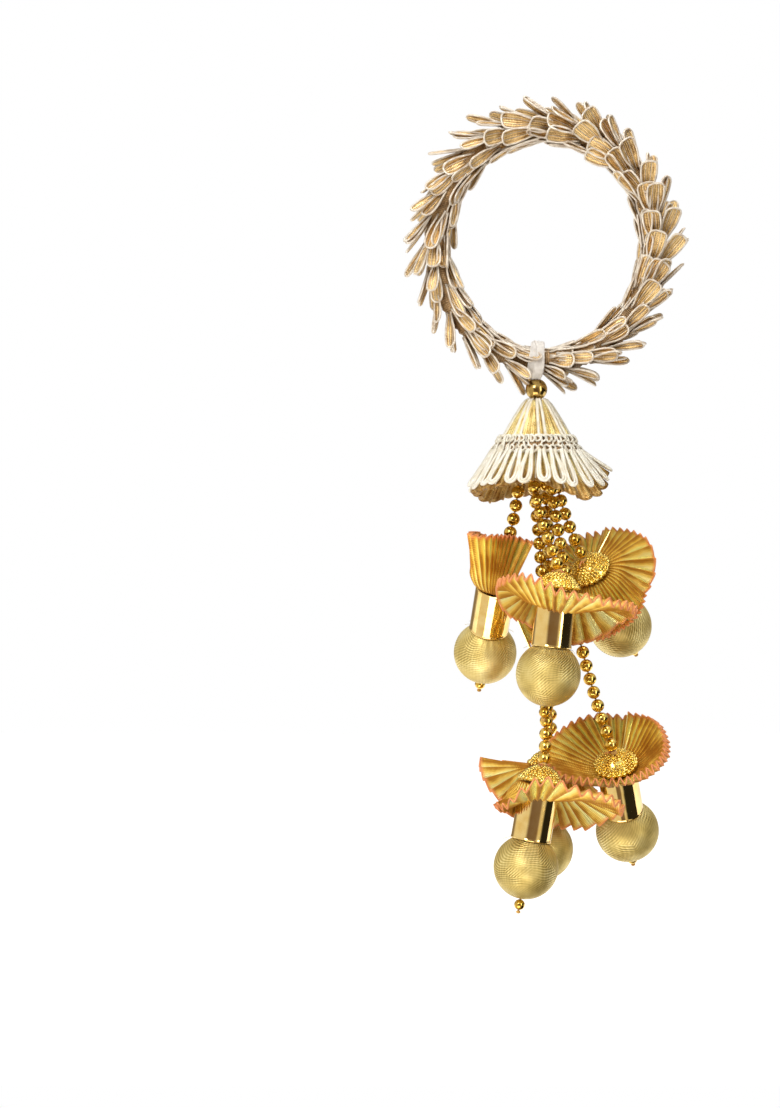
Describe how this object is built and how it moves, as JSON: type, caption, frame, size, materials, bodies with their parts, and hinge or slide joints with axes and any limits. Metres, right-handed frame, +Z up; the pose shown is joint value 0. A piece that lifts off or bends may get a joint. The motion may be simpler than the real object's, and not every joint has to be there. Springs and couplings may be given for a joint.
{
  "type": "braid tassel",
  "caption": "Hair-braid tassel: loop-lace ring, pleated cone cap and bead strings that carry pleated rosettes, gold tubes and cloth-covered balls.",
  "frame": {"origin": "centre of the opening of the lace ring, which the braid goes through", "axes": "+Z up along the hanging tassel, +Y through the ring's opening, away from the viewer, +X to the viewer's right"},
  "size_m": [0.0772, 0.0737, 0.2392],
  "materials": {
    "gota_lace": "champagne-gold metallic ribbon loops with silver-white cord edges",
    "tie_tape": "matt white cotton tape",
    "bead_gold": "polished yellow-gold plated beads",
    "cap_cloth": "pleated pale gold metallic ribbon cloth",
    "lace_trim": "silver-white metallic cord lace",
    "thread": "golden-orange thread",
    "filigree": "granular gold filigree",
    "rosette_ribbon": "pleated ribbed gold ribbon with an orange-pink rim",
    "tube_gold": "mirror-polished gold",
    "ball_tissue": "pale gold tissue cloth, fine herringbone weave"
  },
  "bodies": {
    "root": {"gota_ring": "gota_lace", "tie_tape": "tie_tape", "top_bead": "bead_gold", "cone_cap": "cap_cloth", "loop_trim": "lace_trim", "bead_string_upper_front": "bead_gold", "thread_upper_front": "thread", "bead_cap_upper_front": "filigree", "rosette_upper_front": "rosette_ribbon", "tube_upper_front": "tube_gold", "ball_upper_front": "ball_tissue", "end_bead_upper_front": "bead_gold", "bead_string_upper_left": "bead_gold", "thread_upper_left": "thread", "bead_cap_upper_left": "filigree", "rosette_upper_left": "rosette_ribbon", "tube_upper_left": "tube_gold", "ball_upper_left": "ball_tissue", "end_bead_upper_left": "bead_gold", "bead_string_upper_right": "bead_gold", "thread_upper_right": "thread", "bead_cap_upper_right": "filigree", "rosette_upper_right": "rosette_ribbon", "tube_upper_right": "tube_gold", "ball_upper_right": "ball_tissue", "end_bead_upper_right": "bead_gold", "bead_string_lower_front": "bead_gold", "thread_lower_front": "thread", "bead_cap_lower_front": "filigree", "rosette_lower_front": "rosette_ribbon", "tube_lower_front": "tube_gold", "ball_lower_front": "ball_tissue", "end_bead_lower_front": "bead_gold", "bead_string_lower_right": "bead_gold", "thread_lower_right": "thread", "bead_cap_lower_right": "filigree", "rosette_lower_right": "rosette_ribbon", "tube_lower_right": "tube_gold", "ball_lower_right": "ball_tissue", "end_bead_lower_right": "bead_gold", "bead_string_lower_back": "bead_gold", "thread_lower_back": "thread", "bead_cap_lower_back": "filigree", "rosette_lower_back": "rosette_ribbon", "tube_lower_back": "tube_gold", "ball_lower_back": "ball_tissue", "end_bead_lower_back": "bead_gold"}
  },
  "joints": []
}
